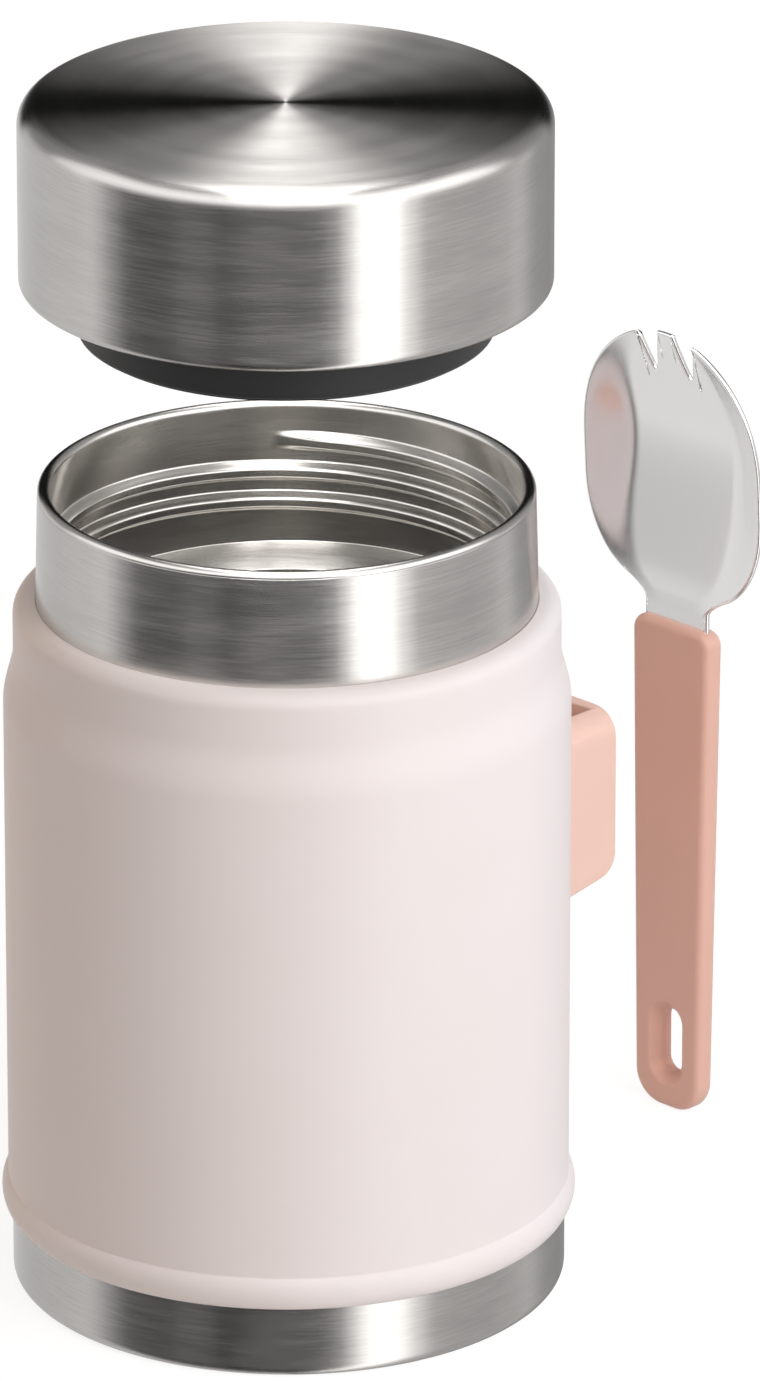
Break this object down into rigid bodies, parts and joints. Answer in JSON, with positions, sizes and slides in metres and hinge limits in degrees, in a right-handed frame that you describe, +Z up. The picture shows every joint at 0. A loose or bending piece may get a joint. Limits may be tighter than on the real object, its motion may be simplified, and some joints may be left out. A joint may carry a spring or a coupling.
{
  "type": "insulated food jar",
  "caption": "Vacuum-insulated steel food jar with a screw lid, a side loop and a spork with a moulded handle.",
  "frame": {"origin": "centre of the jar's base, on the surface that it stands on", "axes": "+Z up along the jar's axis, +X from the axis through the spork loop"},
  "size_m": [0.1388, 0.0904, 0.1942],
  "materials": {
    "powder_coat": "soft pink powder coat, satin",
    "brushed_steel": "circumferentially brushed 18/8 stainless steel",
    "liner_steel": "electropolished stainless steel",
    "base_steel": "brushed stainless steel",
    "blade_steel": "mirror-polished stainless steel",
    "copper_foil": "bright copper foil",
    "braze": "dull braze",
    "getter": "sintered grey",
    "galvanised": "plain spot-welded steel",
    "rose_plastic": "rose-coloured moulded plastic, fine matt",
    "loop_plastic": "rose-coloured moulded plastic, fine matt",
    "black_plastic": "black moulded polypropylene",
    "foam": "closed-cell foam",
    "silicone": "black silicone rubber"
  },
  "bodies": {
    "jar": {"outer_shell": "powder_coat", "neck_collar": "brushed_steel", "inner_liner": "liner_steel", "radiation_foil": "copper_foil", "base_cup": "base_steel", "base_cover": "base_steel", "seal_plug": "braze", "getter_pad": "getter", "loop_rail": "galvanised", "spork_loop": "loop_plastic"},
    "seal_ring": {"lid_seal": "silicone"},
    "lid": {"lid_cap": "brushed_steel", "stopper_shell": "black_plastic", "stopper_floor": "black_plastic", "lid_insulation": "foam"},
    "spork": {"spork_handle": "rose_plastic", "spork_blade": "blade_steel"}
  },
  "joints": [
    {"name": "lid_rise", "type": "slide", "parent": "jar", "child": "seal_ring", "axis": [0, 0, 1], "range_m": [-0.051, 0]},
    {"name": "lid_turn", "type": "hinge", "parent": "seal_ring", "child": "lid", "pos_m": [0, 0, 0.1829], "axis": [0, 0, 1], "range_deg": [-3672, 0]},
    {"name": "spork_lift", "type": "slide", "parent": "jar", "child": "spork", "axis": [0, 0, 1], "range_m": [0, 0.09]}
  ],
  "couplings": [
    {"joint": "lid_rise", "follows": "lid_turn", "m_per_rad": 0.00079577}
  ]
}
